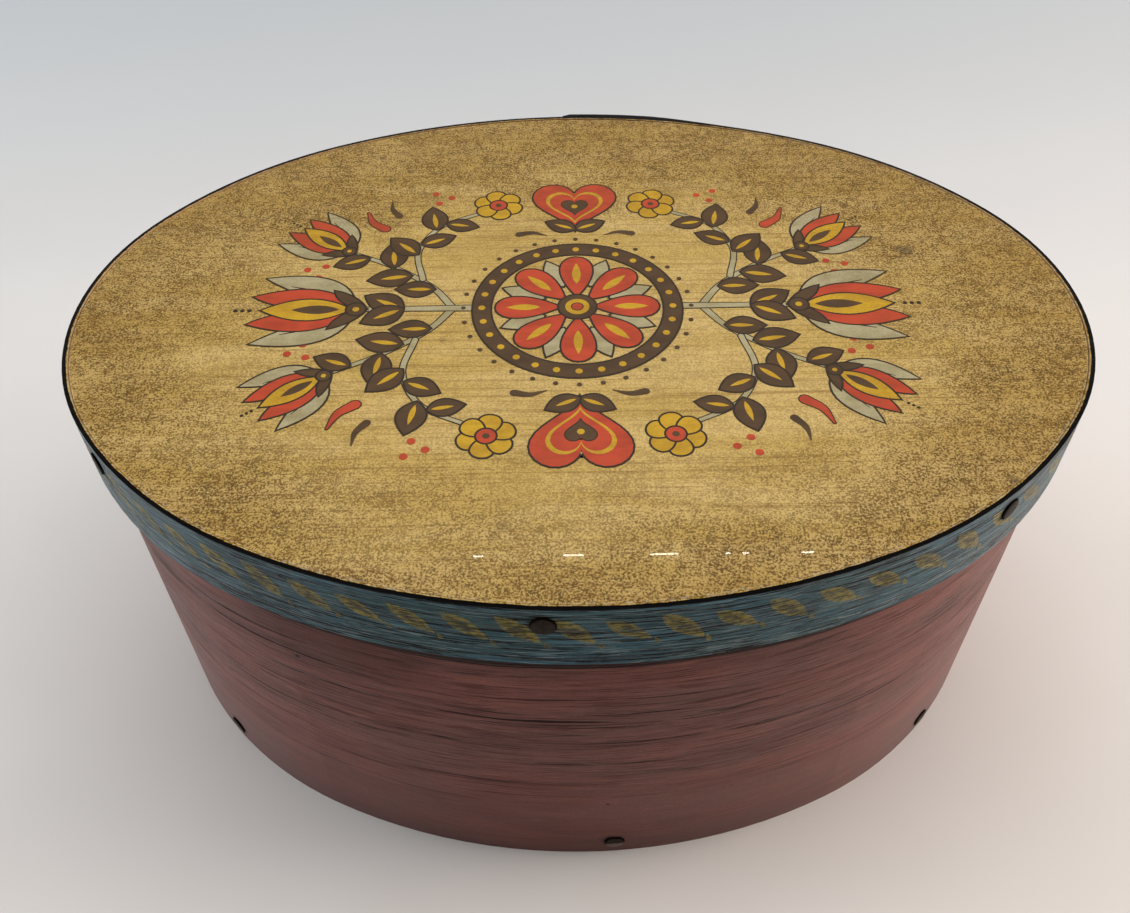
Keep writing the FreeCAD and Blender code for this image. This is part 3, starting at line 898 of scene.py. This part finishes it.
def film_solid(loops, height, vertices, faces):
    """Adds a closed film with these outlines, from just inside the board to a height over it."""
    flat = [[Vector((p.real, p.imag, 0)) for p in loop] for loop in loops]
    points = [p for loop in flat for p in loop]
    first, count = len(vertices), len(points)
    for level in (BOARD_TOP - FILM_ROOT, BOARD_TOP + height):
        vertices.extend(p + Vector((0, 0, level)) for p in points)
    for a, b, c in tessellate_polygon(flat):
        faces.append((first + c, first + b, first + a))
        faces.append((first + count + a, first + count + b, first + count + c))
    begin = first
    for loop in flat:
        for i in range(len(loop)):
            here, following = begin + i, begin + (i + 1) % len(loop)
            faces.append((here, following, following + count, here + count))
        begin += len(loop)


def paint_lid(paints):
    """One piece for each paint on the lid, with ink under every outlined shape."""
    films = {paint: ([], []) for paint in paints}
    for order, (paint, line, loops) in enumerate(lid_ornament()):
        height = FILM + order * FILM_STEP
        if area(loops[0]) < 0:
            loops = [loop[::-1] for loop in loops]
        if line:
            edge = [widened(loop, line) for loop in loops]
            film_solid(edge, height - FILM_STEP / 2, *films["ink"])
        film_solid(loops, height, *films[paint])
    for paint, (vertices, faces) in films.items():
        piece = plain_object(f"lid_ornament_{paint}", vertices, faces)
        turn_faces_out(piece.data)
        piece.data.materials.append(paints[paint])
        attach(piece, "lid")


# ---- what repeats, grown by Geometry Nodes ----------------------------------------------------

UPWARD = (0, 0, 1)
Z_THEN_X = {"primary_axis": "Z", "secondary_axis": "X"}
PRESS_FROM = 10 * MM  # leaves are pressed on to the wall from this far outside it
TOUCHING = 0.001 * MM


def new_group(name, sockets):
    """A Geometry Nodes group with named inputs. Returns it and its inputs' node."""
    group = bpy.data.node_groups.new(name, "GeometryNodeTree")
    group.interface.new_socket("Geometry", in_out="OUTPUT", socket_type="NodeSocketGeometry")
    for label, kind in {"Geometry": "Geometry", **sockets}.items():
        group.interface.new_socket(label, in_out="INPUT", socket_type="NodeSocket" + kind)
    return group, group.nodes.new("NodeGroupInput").outputs


def grown(host, group, values):
    """The plain mesh that a group makes of a host object. The host is used up."""
    modifier = host.modifiers.new(group.name, "NODES")
    modifier.node_group = group
    for item in group.interface.items_tree:
        if item.in_out == "INPUT" and item.name in values:
            modifier[item.identifier] = values[item.name]
    host.update_tag()
    final = host.evaluated_get(bpy.context.evaluated_depsgraph_get())
    mesh = bpy.data.meshes.new_from_object(final)
    bpy.data.objects.remove(host)
    for value in values.values():
        if isinstance(value, bpy.types.Object) and "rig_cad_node" not in value:
            bpy.data.objects.remove(value)
    return mesh


def piece_of(name, mesh, body, crisp=35):
    """A finished piece. Edges that turn by more than crisp degrees stay crisp."""
    mesh.shade_smooth()
    mesh.set_sharp_from_angle(angle=math.radians(crisp))
    piece = bpy.data.objects.new(name, mesh)
    bpy.context.scene.collection.objects.link(piece)
    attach(piece, body)
    return piece


LEAF_LENGTH = 19.5
LEAF_WIDTH = 7.0
LEAF_SLANT = -40.0  # degrees
LEAF_SWAY = 7.0  # degrees either way, by chance
LEAF_SIZES = (0.92, 1.05)
LEAF_LEVEL = 165.9
LEAF_COUNT = 63  # 16.6 mm apart
LEAF_START = -90.8  # degrees, where the row begins and ends
LEAF_THICKNESS = 0.05
LEAF_RINGS = (0.0, 0.22, 0.5, 0.8)  # how deep in the leaf each ring of its points lies
TAIL_START = LEAF_LENGTH / 2 - 1.0 + 1.5j
TAIL_SIZE = (5.2, 2.2)  # length and width
TAIL_TURN = -30.0
TAIL_FAINTNESS = 0.25


def stencil_leaf():
    """One leaf of the border with its tail, flat, X along the row and Z upright."""
    outline = [p - LEAF_LENGTH / 2 for p in blade(LEAF_LENGTH, LEAF_WIDTH)[0]]
    hang = cmath.rect(1, math.radians(TAIL_TURN))
    tail = [TAIL_START + hang * p for p in drop(*TAIL_SIZE, 18)[0]]
    vertices, faces, inside = [], [], []
    slant = cmath.rect(1, math.radians(LEAF_SLANT))
    for form, faintness in ((outline, 0.0), (tail, TAIL_FAINTNESS)):
        size, middle = len(form), sum(form) / len(form)
        for depth in LEAF_RINGS:
            for i, p in enumerate(form):
                q = slant * (middle + (p - middle) * (1 - depth))
                vertices.append((q.real, 0, q.imag))
                inside.append(depth - faintness)
                if depth:
                    here, j = len(vertices) - 1, (i + 1) % size - i
                    faces.append((here - size, here - size + j, here + j, here))
        faces.append(tuple(range(len(vertices) - size, len(vertices))))
    leaf_object = plain_object("stencil_leaf", vertices, faces)
    shape = bmesh.new()
    shape.from_mesh(leaf_object.data)
    bmesh.ops.recalc_face_normals(shape, faces=shape.faces)
    shape.faces.ensure_lookup_table()
    for face in shape.faces:
        if face.normal.y > 0:
            face.normal_flip()
    shape.to_mesh(leaf_object.data)
    shape.free()
    attribute = leaf_object.data.attributes.new("from_edge", "FLOAT", "POINT")
    attribute.data.foreach_set("value", inside)
    return leaf_object


def leaf_row_group():
    """Leaves set out along an edge loop, pressed on to a wall and made as thick as paint."""
    sockets = {
        "Leaf": "Object",
        "Wall": "Object",
        "Count": "Int",
        "Sway": "Float",
        "Thickness": "Float",
        "Seed": "Int",
        "Paint": "Material",
    }
    group, given = new_group("leaf row", sockets)
    path = add(group, "GeometryNodeMeshToCurve", (given["Geometry"],))
    spots = add(group, "GeometryNodeResampleCurve", {"Curve": path, "Count": given["Count"]})
    way = add(group, "GeometryNodeInputTangent")
    out = add(group, "ShaderNodeVectorMath", (way, UPWARD), operation="CROSS_PRODUCT")
    kept = {"Geometry": spots, "Name": "out", "Value": out}
    spots = add(group, "GeometryNodeStoreNamedAttribute", kept, data_type="FLOAT_VECTOR")
    stand = add(group, "FunctionNodeAxesToRotation", (UPWARD, way), **Z_THEN_X)
    least = add(group, "ShaderNodeMath", (given["Sway"], -1.0), **TIMES)
    sway = {"Min": least, "Max": given["Sway"], "Seed": given["Seed"]}
    sway = add(group, "FunctionNodeRandomValue", sway)
    sway = add(group, "FunctionNodeAxisAngleToRotation", ((0, 1, 0), sway))
    stand = add(group, "FunctionNodeRotateRotation", (stand, sway), rotation_space="LOCAL")
    size = {"Min": LEAF_SIZES[0], "Max": LEAF_SIZES[1], "Seed": given["Seed"]}
    size = add(group, "FunctionNodeRandomValue", size)
    leaf_shape = add(group, "GeometryNodeObjectInfo", (given["Leaf"],)).node.outputs["Geometry"]
    placed = {"Points": spots, "Instance": leaf_shape, "Rotation": stand, "Scale": size}
    leaves = add(group, "GeometryNodeInstanceOnPoints", placed)
    leaves = add(group, "GeometryNodeRealizeInstances", (leaves,))
    out = add(group, "GeometryNodeInputNamedAttribute", ("out",), data_type="FLOAT_VECTOR")
    inward = add(group, "ShaderNodeVectorMath", (out, (-1, -1, -1)), **TIMES)
    position = add(group, "GeometryNodeInputPosition")
    clear = add(group, "ShaderNodeVectorMath", (out, (PRESS_FROM, PRESS_FROM, 0)), **TIMES)
    clear = add(group, "ShaderNodeVectorMath", (position, clear), **PLUS)
    wall = add(group, "GeometryNodeObjectInfo", (given["Wall"],)).node.outputs["Geometry"]
    ray = {
        "Target Geometry": wall,
        "Source Position": clear,
        "Ray Direction": inward,
        "Ray Length": 2 * PRESS_FROM,
    }
    hit = add(group, "GeometryNodeRaycast", ray)
    pressed = {"Geometry": leaves, "Selection": hit, "Position": hit.node.outputs["Hit Position"]}
    leaves = add(group, "GeometryNodeSetPosition", pressed)
    raised = {
        "Mesh": leaves,
        "Offset": out,
        "Offset Scale": given["Thickness"],
        "Individual": False,
    }
    raised = add(group, "GeometryNodeExtrudeMesh", raised)
    backs = add(group, "GeometryNodeFlipFaces", (leaves,))
    whole = add(group, "GeometryNodeJoinGeometry", {"Geometry": [raised, backs]})
    whole = add(group, "GeometryNodeMergeByDistance", {"Geometry": whole, "Distance": TOUCHING})
    whole = add(group, "GeometryNodeRealizeInstances", (whole,))
    whole = add(group, "GeometryNodeSetMaterial", {"Geometry": whole, "Material": given["Paint"]})
    add(group, "NodeGroupOutput", (whole,))
    return group


def paint_leaf_row(paint):
    """The border of leaves round the lid band."""
    angles = (math.radians(LEAF_START + a) for a in range(360))
    ring_points = [oval_point(0, angle, LEAF_LEVEL) for angle in angles]
    host = plain_object("leaf_row_path", ring_points, [])
    host.data.edges.add(len(ring_points))
    for i, edge in enumerate(host.data.edges):
        edge.vertices = (i, (i + 1) % len(ring_points))
    values = {
        "Leaf": stencil_leaf(),
        "Wall": frame["nodes"]["lid_band"],
        "Count": LEAF_COUNT,
        "Sway": math.radians(LEAF_SWAY),
        "Thickness": LEAF_THICKNESS * MM,
        "Seed": 4,
        "Paint": paint,
    }
    piece_of("lid_leaf_border", grown(host, leaf_row_group(), values), "lid")


TACK_HEAD = (  # radius and height of the head's profile, from the crown to the underside
    (0.6, 0.94),
    (2.0, 0.92),
    (3.0, 0.88),
    (3.55, 0.8),
    (3.9, 0.66),
    (4.12, 0.46),
    (4.2, 0.25),
    (4.17, 0.08),
    (4.0, 0.0),
)
HEAD_SIDES = 32
RIM_START = 3.7  # the rim's black begins at this radius

# A shank is given as X, Z and half width, from inside the head to the point. A clinched one
# comes out of the body's lap, and is bent over against the wood inside.
COMES_OUT = BODY_INSIDE - BODY_LAP_OUTSIDE
STRAIGHT_SHANK = ((0, 0.3, 0.85), (0, -6, 0.85), (0, -10.5, 0.62), (0, -13.8, 0.15))
CLINCHED_SHANK = (
    (0, 0.3, 0.85),
    (0, COMES_OUT + 0.4, 0.8),
    (-0.5, COMES_OUT - 0.55, 0.72),
    (-1.6, COMES_OUT - 0.85, 0.6),
    (-3.6, COMES_OUT - 0.6, 0.4),
    (-5.2, COMES_OUT - 0.25, 0.12),
)

TACK_ASKEW = 2.0  # degrees either way, by chance
SIDEWAYS_SEED = 17  # another draw than the lean up or down
TACK_DENT = 0.35  # how far the hammer's dents push a head's surface about
DENT_WIDTH = 2.6
TACK_CRISPNESS = 50  # edges that turn by fewer degrees are shaded smooth


def tack(name, shank):
    """A tack with its head at the origin, facing +Z."""
    vertices, faces, rows = [], [], []
    for radius, height in TACK_HEAD:
        turns = (math.tau * i / HEAD_SIDES for i in range(HEAD_SIDES))
        rows.append([(radius * math.cos(t), radius * math.sin(t), height) for t in turns])
    faces += skin(rows)
    vertices += [point for row in rows for point in row]
    head_count = len(vertices)
    corners = ((1, 1), (-1, 1), (-1, -1), (1, -1))
    rows = []
    for i, (x, z, half) in enumerate(shank):
        before, after = shank[max(i - 1, 0)], shank[min(i + 1, len(shank) - 1)]
        way = Vector((after[0] - before[0], after[1] - before[1])).normalized()
        rows.append([(x - way.y * u * half, v * half, z + way.x * u * half) for u, v in corners])
    faces += skin(rows, head_count)
    vertices += [point for row in rows for point in row]
    made = plain_object(name, vertices, faces)
    turn_faces_out(made.data)
    on_head = [1.0 if i < head_count else 0.0 for i in range(len(vertices))]
    made.data.attributes.new("head", "FLOAT", "POINT").data.foreach_set("value", on_head)
    on_rim = [0.0 if math.hypot(v[0], v[1]) < RIM_START else 1.0 for v in vertices]
    made.data.attributes.new("rim", "FLOAT", "POINT").data.foreach_set("value", on_rim)
    return made


def tack_group():
    """Tacks driven at points that know which way is out, each head a little dented and askew."""
    sockets = {
        "Straight tack": "Object",
        "Clinched tack": "Object",
        "Askew": "Float",
        "Dent": "Float",
        "Seed": "Int",
        "Iron": "Material",
    }
    group, given = new_group("driven tacks", sockets)
    out = add(group, "GeometryNodeInputNamedAttribute", ("out",), data_type="FLOAT_VECTOR")
    stand = add(group, "FunctionNodeAxesToRotation", (out, UPWARD), **Z_THEN_X)
    least = add(group, "ShaderNodeMath", (given["Askew"], -1.0), **TIMES)
    lean = {"Min": least, "Max": given["Askew"], "Seed": given["Seed"]}
    lean = add(group, "FunctionNodeRandomValue", lean)
    sideways = {"Min": least, "Max": given["Askew"], "Seed": SIDEWAYS_SEED}
    sideways = add(group, "FunctionNodeRandomValue", sideways)
    lean = add(group, "ShaderNodeCombineXYZ", (lean, sideways, 0.0))
    lean = add(group, "FunctionNodeEulerToRotation", (lean,))
    stand = add(group, "FunctionNodeRotateRotation", (stand, lean), rotation_space="LOCAL")
    clinched = add(group, "GeometryNodeInputNamedAttribute", ("clinched",), data_type="BOOLEAN")
    straight = add(group, "FunctionNodeBooleanMath", (clinched,), operation="NOT")
    driven = []
    for label, chosen in (("Straight tack", straight), ("Clinched tack", clinched)):
        one = add(group, "GeometryNodeObjectInfo", (given[label],)).node.outputs["Geometry"]
        placed = {
            "Points": given["Geometry"],
            "Selection": chosen,
            "Instance": one,
            "Rotation": stand,
        }
        driven.append(add(group, "GeometryNodeInstanceOnPoints", placed))
    whole = add(group, "GeometryNodeJoinGeometry", {"Geometry": driven})
    whole = add(group, "GeometryNodeRealizeInstances", (whole,))
    spread = add(group, "ShaderNodeTexNoise", {"Scale": 1 / (DENT_WIDTH * MM), "Detail": 1.5})
    spread = spread.node.outputs["Color"]
    dent = add(group, "ShaderNodeVectorMath", (spread, (0.5, 0.5, 0.5)), **MINUS)
    head = add(group, "GeometryNodeInputNamedAttribute", ("head",), data_type="FLOAT")
    much = add(group, "ShaderNodeMath", (head, given["Dent"]), **TIMES)
    dent = add(group, "ShaderNodeVectorMath", (dent, much), operation="SCALE")
    whole = add(group, "GeometryNodeSetPosition", {"Geometry": whole, "Offset": dent})
    whole = add(group, "GeometryNodeRealizeInstances", (whole,))
    whole = add(group, "GeometryNodeSetMaterial", {"Geometry": whole, "Material": given["Iron"]})
    add(group, "NodeGroupOutput", (whole,))
    return group


def drive_tacks(name, body, straight_places, clinched_places, seed, iron, *nodes):
    """All the tacks of a body. The clinched ones come through and are bent over inside it."""
    places = straight_places + clinched_places
    points = [oval_point(offset, math.radians(angle), level) for offset, angle, level in places]
    host = plain_object(name + "_places", points, [])
    out = host.data.attributes.new("out", "FLOAT_VECTOR", "POINT")
    clinched = host.data.attributes.new("clinched", "BOOLEAN", "POINT")
    for i, (_, angle, _) in enumerate(places):
        out.data[i].vector = heading(math.radians(angle)).to_3d()
        clinched.data[i].value = i >= len(straight_places)
    values = {
        "Straight tack": tack("straight_tack", STRAIGHT_SHANK),
        "Clinched tack": tack("clinched_tack", CLINCHED_SHANK),
        "Askew": math.radians(TACK_ASKEW),
        "Dent": TACK_DENT * MM,
        "Seed": seed,
        "Iron": iron,
    }
    mesh = grown(host, tack_group(), values)
    piece = piece_of(name, mesh, body, TACK_CRISPNESS)
    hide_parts(*nodes)


# ---- camera, light and floor ------------------------------------------------------------------

CAMERA_PLACE = Vector((-6.1, -324.3, 438.8))
CAMERA_TILT = 46.76  # degrees below the horizon
CAMERA_TURN = -0.145
CAMERA_ROLL = -0.612
CAMERA_LENS = 34.7
CAMERA_SENSOR = 36.0


def stand_camera():
    """The camera stands close in front of the box and looks down at its lid."""
    camera = bpy.data.objects.new("camera", bpy.data.cameras.new("camera"))
    camera.data.sensor_width = CAMERA_SENSOR
    camera.data.sensor_fit = "HORIZONTAL"
    camera.data.lens = CAMERA_LENS
    camera.data.clip_start = 0.01
    turn = Matrix.Rotation(math.radians(CAMERA_TURN), 4, "Z")
    tilt = Matrix.Rotation(math.radians(90 - CAMERA_TILT), 4, "X")
    roll = Matrix.Rotation(math.radians(CAMERA_ROLL), 4, "Z")
    camera.matrix_world = Matrix.Translation(CAMERA_PLACE * MM) @ turn @ tilt @ roll
    bpy.context.scene.collection.objects.link(camera)
    bpy.context.scene.camera = camera


def area_light(name, place, aim, size, power, colour, mirrored_in_gloss=False):
    """A rectangular lamp at place, in metres, that faces aim. Glossy surfaces are lit by it,
    but show it only where they are told to, because varnish would mirror its hard outline."""
    lamp = bpy.data.lights.new(name, "AREA")
    lamp.shape = "RECTANGLE"
    lamp.size, lamp.size_y = size
    lamp.energy = power
    lamp.color = linear(colour)[:3]
    light = bpy.data.objects.new(name, lamp)
    light.visible_glossy = mirrored_in_gloss
    away = (Vector(place) - Vector(aim)).normalized()
    across = (Vector((1, 0, 0)) - away * away.x).normalized()
    facing = Matrix((across, away.cross(across), away)).transposed().to_4x4()
    light.matrix_world = Matrix.Translation(place) @ facing
    bpy.context.scene.collection.objects.link(light)


# Each broad lamp has its place and its aim in metres, its size, its power and its colour.
BROAD_LAMPS = {
    "overhead": ((0.1, 0.3, 2.3), (0.1, 0.1, 0), (2.8, 1.7), 31.5, "#fffdfa"),
    "right_side": ((2.1, 0.2, 0.75), (0, 0, 0.1), (1.6, 1.2), 50, "#ffede0"),
    "left_side": ((-2.0, 0.3, 0.8), (0, 0, 0.1), (1.4, 1.2), 24, "#eff4fa"),
}

# The row of small lamps: where each lies along its track and how long it is, in metres.
TRACK_LAMPS = (
    (-0.235, 0.028),
    (0.018, 0.052),
    (0.26, 0.072),
    (0.428, 0.014),
    (0.476, 0.016),
    (0.64, 0.032),
)
TRACK_PLACE = (1.465, 2.2)  # how far behind the box, and how high
TRACK_AIM = (0, 0, 0.15)
TRACK_WIDTH = 0.0034
TRACK_POWER = 0.62  # for each metre of lamp

GLOW_WAY = (0.05, 0.46, 0.887)  # the brightest part of the room, above and behind the box
FLOOR_REACH = 30000.0


def light_the_set():
    """Broad lamps overhead and at both sides, a pale room, and a track of small lamps behind
    whose reflections are the row of white dashes in the varnish."""
    for name, lamp in BROAD_LAMPS.items():
        area_light(name, *lamp)
    for x, length in TRACK_LAMPS:
        place = (x, *TRACK_PLACE)
        size = (length, TRACK_WIDTH)
        power = TRACK_POWER * length
        area_light("track_lamp", place, TRACK_AIM, size, power, "#fff3de", mirrored_in_gloss=True)
    world = bpy.data.worlds.new("pale room")
    world.use_nodes = True
    tree = world.node_tree
    tree.nodes.clear()
    way = add(tree, "ShaderNodeTexCoord").node.outputs["Generated"]
    glow = add(tree, "ShaderNodeVectorMath", (way, GLOW_WAY), **DOT)
    glow = add(tree, "ShaderNodeMapRange", (glow, 0.84, 0.99, 0.0, 0.43), **EASED)
    back = add(tree, "ShaderNodeSeparateXYZ", (way,)).node.outputs["Y"]
    back = add(tree, "ShaderNodeMapRange", (back, -0.8, 0.5, 0.14, 0.3), **EASED)
    glow = add(tree, "ShaderNodeMath", (glow, back), **PLUS)
    room = add(tree, "ShaderNodeBackground", {"Color": "#f6f3f0", "Strength": glow})
    add(tree, "ShaderNodeOutputWorld", {"Surface": room})
    bpy.context.scene.world = world


def lay_floor():
    """A plain floor, wide enough that its far edge is out of sight."""
    quarters = ((-1, -1), (1, -1), (1, 1), (-1, 1))
    corners = [(x * FLOOR_REACH, y * FLOOR_REACH, 0) for x, y in quarters]
    floor = plain_object("floor", corners, [(0, 1, 2, 3)])
    floor.data.materials.append(pale_cloth())


# ---- putting it together ----------------------------------------------------------------------

stand_camera()
light_the_set()
lay_floor()
bpy.context.scene.view_settings.view_transform = "Standard"

node_finishes = {
    "body_band": maroon_milk_paint(),
    "bottom_board": bare_pine(),
    "lid_band": grey_blue_paint(),
    "lid_board": varnished_lid_board(),
}
for node, finish in node_finishes.items():
    frame["nodes"][node].data.materials.clear()
    frame["nodes"][node].data.materials.append(finish)

paint_leaf_row(ochre_leaf_paint())
paint_lid(
    {
        "ink": ornament_paint("black ink line", "#17110c", "#241a11", 0.2),
        "brown": ornament_paint("umber oil paint", "#4c3722", "#3c2a19", 0.25),
        "pale": ornament_paint("stone grey oil paint", "#b0a985", "#99916c"),
        "yellow": ornament_paint("chrome yellow oil paint", "#c9a01c", "#b38a18"),
        "red": ornament_paint("vermilion oil paint", "#bd4024", "#a3351d", 0.25),
    }
)

iron = blackened_tack_iron()
lid_places = LID_TACK_PLACES + LID_LAP_TACK_PLACES
drive_tacks("lid_tacks", "lid", lid_places, [], 2, iron, "lid_rim_tacks", "lid_lap_tacks")
box_places = (FOOT_TACK_PLACES, BODY_LAP_TACK_PLACES)
drive_tacks("box_tacks", "box", *box_places, 6, iron, "bottom_tacks", "body_lap_tacks")
